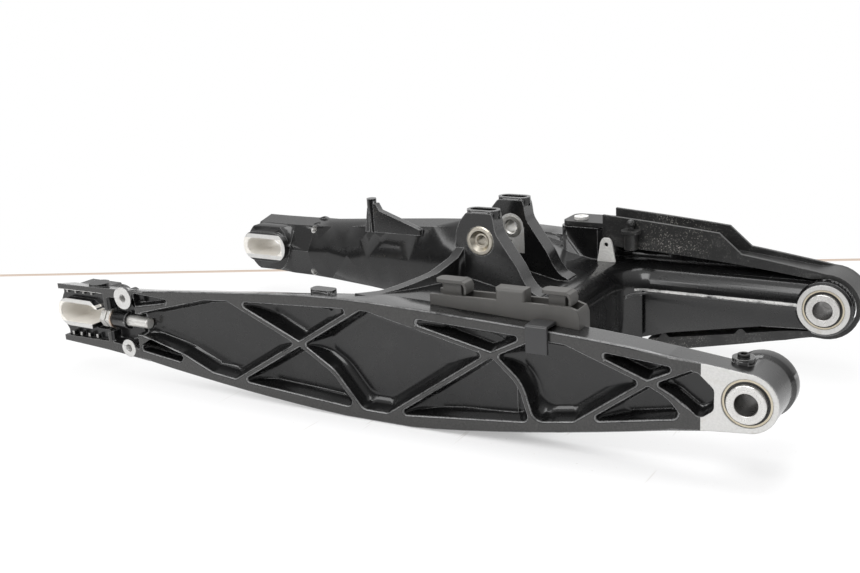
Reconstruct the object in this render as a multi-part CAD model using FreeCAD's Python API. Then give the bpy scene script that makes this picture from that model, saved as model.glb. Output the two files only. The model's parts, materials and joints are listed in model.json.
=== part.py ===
import FreeCAD, Part
import math
import os
from FreeCAD import Vector

# Motorcycle swingarm with its bearings, chain adjusters, chain slider and hose guide.
# Millimetres. The origin is the middle of the pivot axis, +X points to the front of the
# motorcycle, +Y to its left (chain) side and +Z up. The axle lies at X = -arm_length.

os.makedirs("parts", exist_ok=True)

# ---------------------------------------------------------------- driving dimensions
arm_length = 600.0          # pivot axis to the middle of the axle slot
pivot_half_width = 131.0    # middle plane to the outer face of an arm at the pivot
axle_half_width = 152.0     # middle plane to the outer face of an arm at the axle

# side profile of an arm
crown_height = 41.0         # highest point of the top edge above the pivot axis
crown_back = 325.0          # its distance behind the pivot
belly_depth = 57.0          # lowest point of the bottom edge below the pivot axis
belly_back = 283.0          # its distance behind the pivot
belly_flat = 60.0           # length of the flat that the swingarm rests on
tail_top = 26.0             # top edge above the axle line at the axle end
tail_bottom = 28.0          # bottom edge below the axle line at the axle end
tail_overhang = 20.0        # outer face behind the slot's middle

# section of an arm
front_width = 20.0          # arm width just behind the pivot boss
bridge_width = 25.0         # arm width where the bridge joins
rear_width = 35.0           # arm width in front of the axle
top_band = 20.0             # width of the top face
top_slope = 4.5             # fall of the rear top face towards the wheel
crease_drop = 3.0           # ridge along the inner face below the pivot axis
bottom_rise = 9.0           # rise of the bottom face towards the wheel

# open lattice in the outer faces
flange_top = 8.0            # height of the top flange
flange_bottom = 8.5         # height of the bottom flange
rib = 4.0                   # thickness of the diagonal ribs at the outer face
bay_depth = 14.0            # depth of the bays
bay_corner = 1.8            # corner radius of the bays
bay_blend = 9.0             # draw-in of the floor of a large bay
bay_blend_small = 4.0       # the same of a three-cornered bay
cross_back = (353.0, 182.0, 66.0)      # rib crossings behind the pivot
cross_height = (-1.0, 11.0, 5.0)       # rib crossings above the pivot axis
rear_top_reach = (66.0, 95.0, 52.0)    # from a crossing back to its rear top rib end
front_top_reach = (56.0, 31.0, 25.0)   # from a crossing forward to its front top rib end
rear_foot_reach = (66.0, 88.0, 49.0)   # from a crossing back to its rear bottom rib end
front_foot_reach = (54.0, 30.0, 26.0)  # from a crossing forward to its front bottom rib end
rib_bow = (6.0, 8.0, 4.0)              # outward bow of the front bottom ribs
bay_start = 17.0            # first bay in front of the bracket bosses

# pivot
boss_diameter = 41.0        # machined inner face of the pivot boss
boss_width = 46.0           # length of the pivot boss
boss_rim = 2.2              # cast rim around the machined inner face
rim_length = 11.0           # length of that rim along the axis
bearing_bore = 28.0         # bore of the pivot boss
bearing_length = 30.0       # needle bearing in the middle of the boss
sleeve_diameter = 20.0      # inner sleeve on which the needles run
pivot_bolt = 15.0           # swingarm bolt
bolt_play = 0.1             # radial play of the bolt in the sleeve
needle_play = 0.03          # radial running play of the sleeve
sleeve_proud = 3.0          # sleeve beyond the faces of the boss
collar_diameter = 26.4      # thrust collar at each end of the sleeve
collar_length = 6.5
seal_diameter = 33.4        # counterbore for the seal
seal_length = 5.0
seal_gap = 0.2              # radial gap between seal lip and collar

# axle end
slot_length = 47.0
slot_height = 18.0
slot_offset = 3.0           # middle of the slot in front of the axle line
slot_rear_wall = 5.5        # inner pad beyond the ends of the slot
outer_rim = 3.0             # outer pad beyond the rear end of the slot
outer_pad_height = 26.0     # machined pad round the slot, outer face
inner_pad_height = 33.0     # machined pad round the slot, inner face
inner_pad_proud = 10.0      # inner pad beyond the inner face
tail_recess = 4.0           # depth of the face above and below the outer pad
tick_pitch = 10.0           # index marks for the axle position
tick_count = 4
tick_width = 2.4
mount_ahead = 59.0          # bracket bosses in front of the axle
mount_upper = 19.0          # upper bracket boss above the pivot axis
mount_lower = 27.0          # lower bracket boss below the pivot axis
mount_upper_diameter = 20.0
mount_lower_diameter = 16.0
mount_neck = 12.0           # bracket boss behind its flange
mount_flange = 3.0
mount_hole = 7.0

# chain adjuster
adjuster_thread = 10.0
adjuster_boss = 16.0
adjuster_ahead = 39.5       # seat of the washer in front of the axle
adjuster_boss_length = 16.5
adjuster_drop = 4.0         # screw axis below the pivot axis
adjuster_inset = 9.5        # screw axis behind the outer face
adjuster_length = 50.0
nut_across = 15.0
nut_height = 5.0
head_height = 6.0
washer_diameter = 18.0
washer_thickness = 1.5

# bridge, left leg and shock absorber ears
bridge_front = 168.0        # front wall behind the pivot
bridge_top = 23.0           # top face at the front wall above the pivot axis
bridge_top_rear = 37.0      # top face at the rear wall
bridge_bottom = 44.0        # bottom edge of the front wall below the pivot axis
bridge_wall = 7.0
bridge_depth = 145.0        # front wall to the rear end of the blank
bridge_round = 22.0         # round of the front top edge
wheel_room_back = 462.0     # middle of the concave rear wall behind the pivot
wheel_room_radius = 198.0
leg_inset = 44.0            # inner face of the left leg inside the outer arm face
leg_panel_step = 3.0        # flat lower panel behind the ridge of the leg
leg_corner = 22.0           # plan radius between bridge and leg
ear_gap = 39.0              # between the two ears
ear_thickness = 16.0
shock_back = 244.0          # shock absorber bolt behind the pivot
shock_height = 66.5         # shock absorber bolt above the pivot axis
ear_top = 91.5
ear_pad_length = 29.0       # flat pad on an ear
ear_pad_width = 14.5
ear_rear = 23.5             # rear edge of an ear behind the bolt
gusset_thickness = 8.0
shock_bush_diameter = 24.4  # threaded bush in the right ear
shock_eye_diameter = 18.6   # plain bush in the left ear
shock_bolt = 8.6

# chain slider
slider_width = 34.0
slider_wall = 3.0
slider_inset = 3.0          # outer wall inside the outer arm face
slider_floor = 3.5
slider_rear = 192.0         # rear end of the tall walls behind the pivot
slider_ramp = 88.0          # foot of the tall walls behind the pivot
slider_ramp_run = 19.0
slider_tall = 27.0          # height of the tall walls above the arm
slider_low = 9.0            # height of the low walls above the arm
slider_tail = 150.0         # rear end of the lower run behind the pivot
slider_nose_gap = 1.0       # between the slider and the pivot boss
slider_seat_gap = 0.5       # between the slider and the arm

# hose guide
guide_rear = 240.0
guide_front = 119.0
guide_face_inset = 14.5     # front face of the guide inside the outer arm face
guide_width = 18.0
guide_height = 13.0
guide_wall = 2.5
clip_back = 145.0
clip_width = 17.0
clip_thickness = 2.5
clip_drop = 18.0

# places along the arms are given for this arm length, and follow it
stated_length = 600.0
stretch = arm_length / stated_length
(crown_back, belly_back, belly_flat, bridge_front, bridge_depth, wheel_room_back, wheel_room_radius,
 shock_back, slider_rear, slider_ramp, slider_tail, guide_rear, guide_front, clip_back) = [
    stretch * length for length in (
        crown_back, belly_back, belly_flat, bridge_front, bridge_depth, wheel_room_back, wheel_room_radius,
        shock_back, slider_rear, slider_ramp, slider_tail, guide_rear, guide_front, clip_back)]
(cross_back, rear_top_reach, front_top_reach, rear_foot_reach, front_foot_reach) = [
    [stretch * length for length in row] for row in (
        cross_back, rear_top_reach, front_top_reach, rear_foot_reach, front_foot_reach)]
mount_back = arm_length - mount_ahead


# ---------------------------------------------------------------- small helpers
def interpolate(table, back):
    """Value at a distance behind the pivot, straight between the rows of a table."""
    rows = sorted(table)
    if back <= rows[0][0]:
        return rows[0][1]
    for (b0, v0), (b1, v1) in zip(rows, rows[1:]):
        if back <= b1:
            return v0 + (v1 - v0) * (back - b0) / (b1 - b0)
    return rows[-1][1]


def smooth(table, back):
    """Value at a distance behind the pivot on a smooth curve through a table."""
    rows = sorted(table)
    slopes = []
    for i, (b, v) in enumerate(rows):
        lo = rows[max(i - 1, 0)]
        hi = rows[min(i + 1, len(rows) - 1)]
        slopes.append((hi[1] - lo[1]) / (hi[0] - lo[0]))
    for i in range(len(rows) - 1):
        (b0, v0), (b1, v1) = rows[i], rows[i + 1]
        if back <= b1 or i == len(rows) - 2:
            h = b1 - b0
            t = min(max((back - b0) / h, 0.0), 1.0)
            a = (2 * t ** 3 - 3 * t ** 2 + 1) * v0 + (t ** 3 - 2 * t ** 2 + t) * h * slopes[i]
            b = (3 * t ** 2 - 2 * t ** 3) * v1 + (t ** 3 - t ** 2) * h * slopes[i + 1]
            return a + b


def outer_face(x):
    """Y of the outer face of the left arm."""
    return pivot_half_width - (axle_half_width - pivot_half_width) * x / arm_length


boss_radius = boss_diameter / 2
tail_x = -(arm_length + tail_overhang)
crest_table = [(0, boss_radius), (crown_back, crown_height), (arm_length, tail_top), (-tail_x, tail_top)]
crest_table += [(stretch * back, z) for back, z in ((85, 30.0), (190, 36.5), (451, 33.5), (531, 27.5))]
keel_table = [(0, boss_radius), (belly_back - belly_flat / 2, belly_depth),
              (belly_back + belly_flat / 2, belly_depth), (-tail_x, tail_bottom)]
keel_table += [(stretch * back, z) for back, z in ((28, 23.0), (71, 31.0), (130, 41.5), (194, 51.0),
                                                   (398, 51.0), (484, 41.5), (548, 33.0))]


def crest(x):
    """Z of the top edge of an arm."""
    return smooth(crest_table, -x)


def keel(x):
    """Z of the bottom edge of an arm."""
    if abs(-x - belly_back) <= belly_flat / 2:
        return -belly_depth
    return -smooth(keel_table, -x)


def box(x0, x1, y0, y1, z0, z1):
    return Part.makeBox(x1 - x0, y1 - y0, z1 - z0, Vector(x0, y0, z0))


def rod(radius, length, start, direction):
    return Part.makeCylinder(radius, length, start, direction)


def along_y(radius, x, z, y0, y1):
    """Round bar along Y."""
    return rod(radius, y1 - y0, Vector(x, y0, z), Vector(0, 1, 0))


def profile_xz(points, y0, y1):
    """Prism with a side-view outline, from y0 to y1."""
    wire = Part.makePolygon([Vector(x, y0, z) for x, z in points + points[:1]])
    return Part.Face(wire).extrude(Vector(0, y1 - y0, 0))


def profile_yz(points, x0, x1):
    """Prism with a front-view outline, from x0 to x1."""
    wire = Part.makePolygon([Vector(x0, y, z) for y, z in points + points[:1]])
    return Part.Face(wire).extrude(Vector(x1 - x0, 0, 0))


def mirror(shape):
    """The same piece on the other side of the motorcycle."""
    return shape.mirror(Vector(0, 0, 0), Vector(0, 1, 0))


def hex_bar(across, x0, x1, y, z):
    r = across / math.sqrt(3)
    points = [(y + r * math.cos(math.radians(60 * i)), z + r * math.sin(math.radians(60 * i)))
              for i in range(6)]
    return profile_yz(points, x0, x1)


def area_of(points):
    return sum(a[0] * b[1] - b[0] * a[1] for a, b in zip(points, points[1:] + points[:1])) / 2


def inset(points, steps):
    """Outline moved inwards, each edge by its own step; the points run anticlockwise."""
    lines = []
    for (a, b), step in zip(zip(points, points[1:] + points[:1]), steps):
        length = math.hypot(b[0] - a[0], b[1] - a[1])
        nx, nz = -(b[1] - a[1]) / length, (b[0] - a[0]) / length
        lines.append((nx, nz, nx * a[0] + nz * a[1] + step))
    moved = []
    for (a1, b1, c1), (a2, b2, c2) in zip(lines[-1:] + lines[:-1], lines):
        det = a1 * b2 - a2 * b1
        moved.append(((c1 * b2 - c2 * b1) / det, (a1 * c2 - a2 * c1) / det))
    return moved


def rounded(points, radii, y):
    """Closed wire in the plane Y = y with a rounded corner at each point."""
    count = len(points)
    ends = []
    for i in range(count):
        p, q, r = points[i - 1], points[i], points[(i + 1) % count]
        back = math.hypot(p[0] - q[0], p[1] - q[1])
        ahead = math.hypot(r[0] - q[0], r[1] - q[1])
        u = ((p[0] - q[0]) / back, (p[1] - q[1]) / back)
        w = ((r[0] - q[0]) / ahead, (r[1] - q[1]) / ahead)
        half = math.acos(max(-1.0, min(1.0, u[0] * w[0] + u[1] * w[1]))) / 2
        reach = min(radii[i] / math.tan(half), 0.46 * back, 0.46 * ahead)
        radius = reach * math.tan(half)
        bis = (u[0] + w[0], u[1] + w[1])
        size = math.hypot(*bis)
        depth = radius / math.sin(half) - radius
        ends.append([(q[0] + u[0] * reach, q[1] + u[1] * reach),
                     (q[0] + bis[0] / size * depth, q[1] + bis[1] / size * depth),
                     (q[0] + w[0] * reach, q[1] + w[1] * reach)])
    edges = []
    for i in range(count):
        a, m, b = [Vector(x, y, z) for x, z in ends[i]]
        edges.append(Part.Arc(a, m, b).toShape())
        nxt = ends[(i + 1) % count][0]
        edges.append(Part.LineSegment(b, Vector(nxt[0], y, nxt[1])).toShape())
    return Part.Wire(edges)


face_angle = math.degrees(math.atan((axle_half_width - pivot_half_width) / arm_length))


def onto_face(shape):
    """From the plane Y = 0 onto the outer face of the left arm."""
    placed = shape.copy()
    placed.rotate(Vector(0, 0, 0), Vector(0, 0, 1), -face_angle)
    placed.translate(Vector(0, pivot_half_width, 0))
    return placed


def shrunk(points, share):
    """Outline drawn in towards its middle by a share of its size."""
    mx = sum(p[0] for p in points) / len(points)
    mz = sum(p[1] for p in points) / len(points)
    return [(x + (mx - x) * share, z + (mz - z) * share) for x, z in points]


def bay(points, steps, radii, depth, blend):
    """Cutter of one open bay: drafted walls and a blended floor, in the plane Y = 0."""
    if area_of(points) < 0:
        points = points[:1] + points[:0:-1]
        steps = steps[::-1]
        radii = radii[:1] + radii[:0:-1]
    mouth = inset(points, steps)
    edge = sum(math.dist(a, b) for a, b in zip(mouth, mouth[1:] + mouth[:1]))
    draw = min(0.3, blend * edge / (2 * area_of(mouth)))
    wires = []
    for y, share in ((3.0, 0.0), (-0.45 * depth, 0.13), (-0.74 * depth, 0.33), (-0.92 * depth, 0.62),
                     (-depth, 1.0)):
        wires.append(rounded(shrunk(mouth, share * draw), [r + 1.2 * share * blend for r in radii], y))
    return Part.makeLoft(wires, True, True)


# ---------------------------------------------------------------- arm
def arm_section(x):
    """Section of the left arm: outer face, sloping top, ridged inner face, rising bottom."""
    back = -x / stretch
    front = bridge_front / stretch
    belly = belly_back / stretch
    joint = front + 130.0
    top_w = interpolate([(0, front_width - 0.5), (front, bridge_width - 1),
                         (belly, bridge_width - 1), (350, top_band)], back)
    slope = interpolate([(160, 0.0), (belly, 1.0), (350, top_slope)], back)
    mid_w = interpolate([(0, front_width), (front, bridge_width), (joint, bridge_width + 3),
                         (460, rear_width - 3), (540, rear_width)], back)
    rise = interpolate([(front, 0.0), (belly, 3.0), (447, bottom_rise),
                        (500, 0.7 * bottom_rise), (568, 0.5)], back)
    low_w = interpolate([(0, front_width - 0.5), (front, bridge_width - 1),
                         (joint, bridge_width - 1), (460, rear_width - 8), (620, rear_width - 6)], back)
    face = outer_face(x)
    points = [(face, keel(x)), (face, crest(x)), (face - top_w, crest(x) - slope),
              (face - mid_w, -crease_drop), (face - low_w, keel(x) + rise)]
    return Part.makePolygon([Vector(x, y, z) for y, z in points + points[:1]])


def arm_blank():
    steps = 24
    stations = sorted({0.0, tail_x, -(belly_back - belly_flat / 2), -(belly_back + belly_flat / 2)}
                      | {tail_x * i / steps for i in range(steps + 1)}, reverse=True)
    return Part.makeLoft([arm_section(x) for x in stations], True, True)


def lattice():
    """All bays of one outer face, in the plane Y = 0."""
    def top(x):
        return (x, crest(x) - flange_top)

    def foot(x):
        return (x, keel(x) + flange_bottom)

    cross, rear_top, front_top, rear_foot, front_foot, bow = [], [], [], [], [], []
    for i in range(3):
        x = -cross_back[i]
        cross.append((x, cross_height[i]))
        rear_top.append(top(x - rear_top_reach[i]))
        front_top.append(top(x + front_top_reach[i]))
        rear_foot.append(foot(x - rear_foot_reach[i]))
        front_foot.append(foot(x + front_foot_reach[i]))
        dx = front_foot[i][0] - x
        dz = front_foot[i][1] - cross_height[i]
        size = math.hypot(dx, dz)
        bow.append((x + dx / 2 - dz / size * rib_bow[i], cross_height[i] + dz / 2 + dx / size * rib_bow[i]))
    half, c = rib / 2, bay_corner
    cutters = []
    for i in range(3):
        cutters.append(bay([rear_top[i], cross[i], front_top[i]], [half, half, 0], [c, c, c],
                           bay_depth, bay_blend_small))
        cutters.append(bay([rear_foot[i], front_foot[i], bow[i], cross[i]],
                           [0, half, half, half], [c, 2 * c, 30, c], bay_depth, bay_blend_small))
    for i in range(2):
        points = [cross[i], bow[i], front_foot[i], rear_foot[i + 1], cross[i + 1],
                  rear_top[i + 1], front_top[i]]
        cutters.append(bay(points, [half, half, 0, half, half, 0, half],
                           [c, 30, 4 * c, 2 * c, c, c, c], bay_depth, bay_blend))
    # first bay behind the axle group
    nose = -(mount_back - bay_start)
    wide = nose + 77 * stretch
    points = [(nose, 7.0), (nose, -13.0), (nose + 45 * stretch, -24.0), (wide, foot(wide)[1]), rear_foot[0],
              cross[0], rear_top[0], (wide, top(wide)[1] + 0.5)]
    cutters.append(bay(points, [0, 0, 0, 0, half, half, 0, 0], [3, 3, 12, 8, 2 * c, c, 4, 12],
                       bay_depth, bay_blend_small + 2))
    # small bays above and below it
    tip = nose + 34 * stretch
    cutters.append(bay([(nose - 5, 13.0), (tip - 2, 19.5), (tip, top(tip)[1] - 0.5),
                        (nose - 5, top(nose - 5)[1] + 5)], [0, 0, 0, 0], [2, 3, 3, 2], 9.0, 2.5))
    tip = nose + 45 * stretch
    cutters.append(bay([(nose + 10, -17.0), (nose - 6, foot(nose - 6)[1]), (tip - 2, foot(tip)[1] + 1),
                        (tip + 1, -27.0)], [0, 0, 0, 0], [2, 2, 3, 3], 9.0, 2.5))
    # last bay, up to the machined face of the pivot
    front = -boss_radius - 0.5
    points = [cross[2], bow[2], (front_foot[2][0] + 8, front_foot[2][1]), (front, -8.0), (front, 7.0),
              (-32, top(-32)[1] + 1), front_top[2]]
    cutters.append(bay(points, [half, half, 0, 0, 0, 0, half], [c, 20, 5, 5, 5, 5, c], bay_depth - 2,
                       bay_blend_small))
    shape = cutters[0]
    return shape.multiFuse(cutters[1:])


def oval(length, height, x, y0, y1):
    """Slot-shaped prism along Y with its middle at the height of the axle."""
    r = height / 2
    d = length / 2 - r
    plate = box(x - d, x + d, y0, y1, -r, r)
    return plate.multiFuse([along_y(r, x - d, 0, y0, y1), along_y(r, x + d, 0, y0, y1)]).removeSplitter()


slot_x = -arm_length + slot_offset
adj_x = -(arm_length - adjuster_ahead)
adj_y = outer_face(adj_x) - adjuster_inset
adj_z = -adjuster_drop


def arm():
    """Left arm with lattice, axle end, adjuster boss and bracket bosses."""
    body = arm_blank()
    face = outer_face(tail_x)
    inner = face - rear_width
    floor = outer_face(adj_x) - tail_recess
    # rounded block inside the tail, with its proud inner pad
    block_r = tail_bottom + 1
    block_x = slot_x - slot_length / 2 - slot_rear_wall + block_r
    block = along_y(block_r, block_x, -1.5, inner - 2, floor)
    block = block.common(box(block_x - block_r, block_x + 60, inner - 2, floor,
                             keel(tail_x) + 1, tail_top - top_slope - 0.5))
    pad_length = slot_length + 2 * slot_rear_wall
    inner_pad = oval(pad_length, inner_pad_height, slot_x, inner - inner_pad_proud, inner + 10)
    body = body.multiFuse([block, inner_pad])
    # recessed tail face between the flanges
    z_top = crest(slot_x) - flange_top + 3
    z_low = keel(slot_x) + flange_bottom - 2
    tail = profile_xz([(tail_x - 12, z_low), (adj_x - 4, z_low), (adj_x - 4, z_top), (tail_x - 12, z_top)],
                      floor, face + 5)
    body = body.cut(tail)
    # raised pad round the slot, closed at the rear and pointed towards the adjuster
    pad_front = slot_x + slot_length / 2 + slot_rear_wall
    pad_h = outer_pad_height / 2
    pad_rear = slot_x - slot_length / 2 - outer_rim + pad_h
    pad = profile_xz([(pad_rear, -pad_h), (pad_front - 5, -pad_h), (pad_front, -pad_h + 6),
                      (pad_front, pad_h - 10), (pad_front - 12, pad_h), (pad_rear, pad_h)], floor - 1, face)
    pad = pad.fuse(along_y(pad_h, pad_rear, 0, floor - 1, face)).removeSplitter()
    body = body.fuse(pad)
    # bay round the adjuster boss and the bracket bosses
    x0, x1 = adj_x - 0.5, -(mount_back - 12)
    y_floor = outer_face(-mount_back) - 11
    around = bay([(x0, keel(x0) + flange_bottom), (x1, keel(x1) + flange_bottom), (x1, crest(x1) - flange_top),
                  (x0, crest(x0) - flange_top)], [0] * 4, [2] * 4, 11.0, 2.0)
    islands = [rod(adjuster_boss / 2, adjuster_boss_length, Vector(adj_x, adj_y, adj_z), Vector(1, 0, 0))]
    seat = outer_face(-mount_back)
    for z, d in ((mount_upper, mount_upper_diameter), (-mount_lower, mount_lower_diameter)):
        islands.append(along_y(d / 2, -mount_back, z, seat - mount_flange, seat))
        islands.append(along_y(mount_neck / 2, -mount_back, z, y_floor - 6, seat))
    body = body.cut(onto_face(around.fuse(lattice())))
    body = body.multiFuse(islands)
    # room for the adjuster: from the slot to the boss, and on to the first bay
    room_y = adj_y - washer_diameter / 2 - 1
    room_half = washer_diameter / 2 + 1
    rooms = [box(slot_x + slot_length / 2 - 8, adj_x, room_y, face + 5, adj_z - room_half, adj_z + room_half),
             box(x1 - 2, -(mount_back - bay_start) + 2, outer_face(x1) - 11, face + 5,
                 adj_z - room_half + 1, adj_z + room_half)]
    cuts = rooms + [oval(slot_length, slot_height, slot_x, inner - 40, face + 20)]
    cuts.append(rod(adjuster_thread / 2, 80, Vector(adj_x - 5, adj_y, adj_z), Vector(1, 0, 0)))
    for z in (mount_upper, -mount_lower):
        cuts.append(along_y(mount_hole / 2, -mount_back, z, inner - 20, face + 5))
    body = body.cut(cuts[0].multiFuse(cuts[1:]))
    # index marks beside the slot
    marks = []
    for i in range(tick_count):
        x = slot_x - 12 + i * tick_pitch
        for z0, z1 in ((z_low - 1, z_low + 4.5), (z_top - 2.5, z_top + 1)):
            marks.append(box(x - tick_width / 2, x + tick_width / 2, floor - 1, outer_face(x) - 0.4, z0, z1))
    body = body.multiFuse(marks)
    return body


def pivot_boss():
    """Left pivot boss with its rim, not yet bored."""
    inner = pivot_half_width - boss_width
    outline = [(0, inner), (boss_radius, inner), (boss_radius + boss_rim, inner + boss_rim),
               (boss_radius + boss_rim, inner + rim_length), (boss_radius, inner + rim_length + boss_rim),
               (boss_radius, pivot_half_width), (0, pivot_half_width)]
    wire = Part.makePolygon([Vector(r, y, 0) for r, y in outline + outline[:1]])
    return Part.Face(wire).revolve(Vector(0, 0, 0), Vector(0, 1, 0), 360)


def pivot_bores():
    """Bearing bore and the two seal counterbores of the left boss."""
    inner = pivot_half_width - boss_width
    bore = along_y(bearing_bore / 2, 0, 0, inner - 5, pivot_half_width + 5)
    seats = [along_y(seal_diameter / 2, 0, 0, inner - 5, inner + seal_length + 0.5),
             along_y(seal_diameter / 2, 0, 0, pivot_half_width - seal_length - 0.5, pivot_half_width + 5)]
    return bore.multiFuse(seats).removeSplitter()


# ---------------------------------------------------------------- bridge, leg and ears
def bridge():
    """Box-shaped bridge between the arms, open below, with the left leg beside the slider."""
    front = -bridge_front
    rear = front - bridge_depth
    leg_face = pivot_half_width - leg_inset
    side = outer_face(front) - bridge_width / 2
    # plan outline with the rounded inner corner between the front wall and the leg
    r = leg_corner
    mid = r * (1 - math.sqrt(0.5))
    corner = Part.Arc(Vector(front, leg_face - r, 0), Vector(front + mid, leg_face - mid, 0),
                      Vector(front + r, leg_face, 0)).toShape()
    path = [Vector(front + r, leg_face, 0), Vector(-8, leg_face, 0), Vector(-8, side, 0), Vector(rear, side, 0),
            Vector(rear, -side, 0), Vector(front, -side, 0), Vector(front, leg_face - r, 0)]
    edges = [corner] + [Part.LineSegment(a, b).toShape() for a, b in zip(path, path[1:])]
    plan = Part.Face(Part.Wire(Part.sortEdges(edges)[0]))
    body = plan.extrude(Vector(0, 0, bridge_top + 80))
    body.translate(Vector(0, 0, -80))
    rounds = []
    for e in body.Edges:
        c = e.CenterOfMass
        if abs(c.z - bridge_top) < 0.01 and c.x < -8.1 and c.x > front - 0.5 and c.y < leg_face + 0.5:
            rounds.append(e)
    body = body.makeFillet(bridge_round, rounds)
    # bottom: level with the belly at the rear, rising along the leg to the boss
    lower = profile_xz([(rear - 5, -belly_depth + 1), (front - 5, -bridge_bottom), (front + 12, -bridge_bottom),
                        (-131 * stretch, -36.5), (-50 * stretch, -21.0), (5, -boss_radius + 2), (5, -200),
                        (rear - 5, -200)],
                       -200, 200)
    body = body.cut(lower)
    # top face rising to the rear
    rise = profile_xz([(front - bridge_round - 8, bridge_top - 1), (rear, bridge_top - 1),
                       (rear, bridge_top_rear + 4), (front - 100 * stretch, bridge_top_rear)], -side, side)
    body = body.fuse(rise)
    # top of the leg falling to the pivot boss
    fall = profile_xz([(-22, bridge_top + 0.1), (-6, boss_radius - 1), (0, boss_radius - 1), (0, 60), (-22, 60)],
                      leg_face - 5, side + 5)
    body = body.cut(fall)
    # flat lower panel of the leg
    panel = profile_yz([(leg_face - 1, 1.0), (leg_face, 0.0), (leg_face + leg_panel_step, -6.0),
                        (leg_face + leg_panel_step, -70), (leg_face - 1, -70)], front + 1, 0)
    body = body.cut(panel)
    # wheel room behind
    room = Part.makeCylinder(wheel_room_radius, 300, Vector(-wheel_room_back, 0, -150), Vector(0, 0, 1))
    body = body.cut(room)
    # hollow from below
    w = bridge_wall
    rear_wall = Part.makeCylinder(wheel_room_radius + w, 300, Vector(-wheel_room_back, 0, -150))
    back = front - 82 * stretch
    for y0, y1 in ((-side + w, -w / 2), (w / 2, leg_face - leg_corner / 2)):
        hollow = profile_xz([(front - w, -80), (front - w, bridge_top - bridge_round / 2 - w),
                             (front - bridge_round, bridge_top - w - 2), (back, bridge_top_rear - w - 6),
                             (rear, bridge_top_rear - w - 6), (rear, -80)], y0, y1)
        body = body.cut(hollow.cut(rear_wall))
    return body


def ear():
    """Left shock absorber ear: a waisted plate with an oval pad on top."""
    x, z = -shock_back, shock_height
    base = bridge_top - 4
    points = [(x - ear_rear + 1, base), (x - ear_rear, z - 4), (x - ear_rear + 1.5, z + 8),
              (x - 18, z + 16), (x - 12, z + 23), (x + 11, z + 23), (x + 12.5, z + 18), (x + 14, z + 7),
              (x + 23, z - 6), (x + 33, z - 20), (x + 38.5, z - 31), (x + 44, z - 38),
              (x + 52, bridge_top + 1.5), (x + 52, base)]
    y0 = ear_gap / 2
    plate = Part.Face(rounded(points, [1, 16, 14, 10, 4, 2, 4, 14, 40, 40, 24, 14, 1, 1], y0))
    plate = plate.extrude(Vector(0, ear_thickness, 0))
    r = ear_pad_width / 2
    reach = ear_pad_length / 2 - r
    y = y0 + ear_thickness / 2
    low = z + 17.5
    pads = [Part.makeCylinder(r, ear_top - low, Vector(x + s * reach, y, low)) for s in (1, -1)]
    return plate.multiFuse(pads + [box(x - reach, x + reach, y - r, y + r, low, ear_top)])


def gussets():
    """Rear wall of the bridge carried up from each arm to its ear."""
    y_ear = ear_gap / 2 + ear_thickness
    x = -(bridge_front + 122 * stretch)
    y_arm = outer_face(x) - bridge_width + 2
    z_arm = crest(x) - 2
    outline = [(y_ear - 8, bridge_top), (y_ear - 8, shock_height - 1), (y_ear + 0.5, shock_height - 7),
               (y_ear + 8, shock_height - 13), (y_ear + 31, shock_height - 21),
               (y_arm - 14, z_arm + 1), (y_arm, z_arm), (y_arm, bridge_top)]
    wall = profile_yz(outline, x - 40, x + 90)
    ring = Part.makeCylinder(wheel_room_radius + gusset_thickness, 200, Vector(-wheel_room_back, 0, -50))
    wall = wall.common(ring)
    return wall.cut(Part.makeCylinder(wheel_room_radius, 200, Vector(-wheel_room_back, 0, -50)))


def casting():
    left = arm().fuse(pivot_boss())
    right = mirror(left)
    body = left.multiFuse([right, bridge(), ear(), mirror(ear()), gussets(), mirror(gussets())])
    # tower for the rear of the chain slider
    body = body.multiFuse([slider_tower(), plug_boss(), tail_disc(), far_lug(), rest_pad()])
    cuts = [pivot_bores(), mirror(pivot_bores())]
    x, z, y0 = -shock_back, shock_height, ear_gap / 2
    y1 = y0 + ear_thickness
    cuts.append(along_y(shock_bush_diameter / 2, x, z, -y1 - 5, -y0 + 5))
    cuts.append(along_y(shock_eye_diameter / 2, x, z, y0 - 5, y1 + 5))
    for s in (1, -1):
        cuts.append(ear_recess(s))
    cuts.append(plug_hole())
    cuts.append(tower_hole())
    return body.cut(cuts[0].multiFuse(cuts[1:]))


def ear_recess(side):
    """Moulded hollow in the flat top of an ear."""
    x = -shock_back
    y = side * (ear_gap + ear_thickness) / 2
    hollow = Part.makeCylinder(4.6, 30, Vector(x, y, ear_top - 7), Vector(0, 0, 1))
    ends = [Part.makeCylinder(4.6, 30, Vector(x + s * 7, y, ear_top - 7), Vector(0, 0, 1)) for s in (1, -1)]
    return hollow.multiFuse(ends + [box(x - 7, x + 7, y - 4.6, y + 4.6, ear_top - 7, ear_top + 23)]).removeSplitter()


tower_x = -(slider_rear + 22)
tower_y = pivot_half_width - slider_inset - slider_width + 13
tower_top = crest(tower_x) + 14


def slider_tower():
    """Block on the bridge that carries the rear foot of the chain slider."""
    block = box(tower_x - 20, tower_x + 17, tower_y - 13, tower_y + 16, bridge_top - 6, tower_top)
    corners = [e for e in block.Edges if abs(e.Length - (tower_top - bridge_top + 6)) < 0.01
               and e.CenterOfMass.x < tower_x]
    return block.makeFillet(8.0, corners)


def tower_hole():
    return Part.makeCylinder(3.0, 40, Vector(tower_x - 4, tower_y, tower_top - 18), Vector(0, 0, 1))


plug_x = -8.0
plug_y = -(pivot_half_width - front_width + 1.0)


def plug_boss():
    return Part.makeCylinder(7.5, 12, Vector(plug_x, plug_y, 13), Vector(0, 0, 1))


def plug_hole():
    return Part.makeCylinder(4.0, 9, Vector(plug_x, plug_y, 18), Vector(0, 0, 1))


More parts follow.
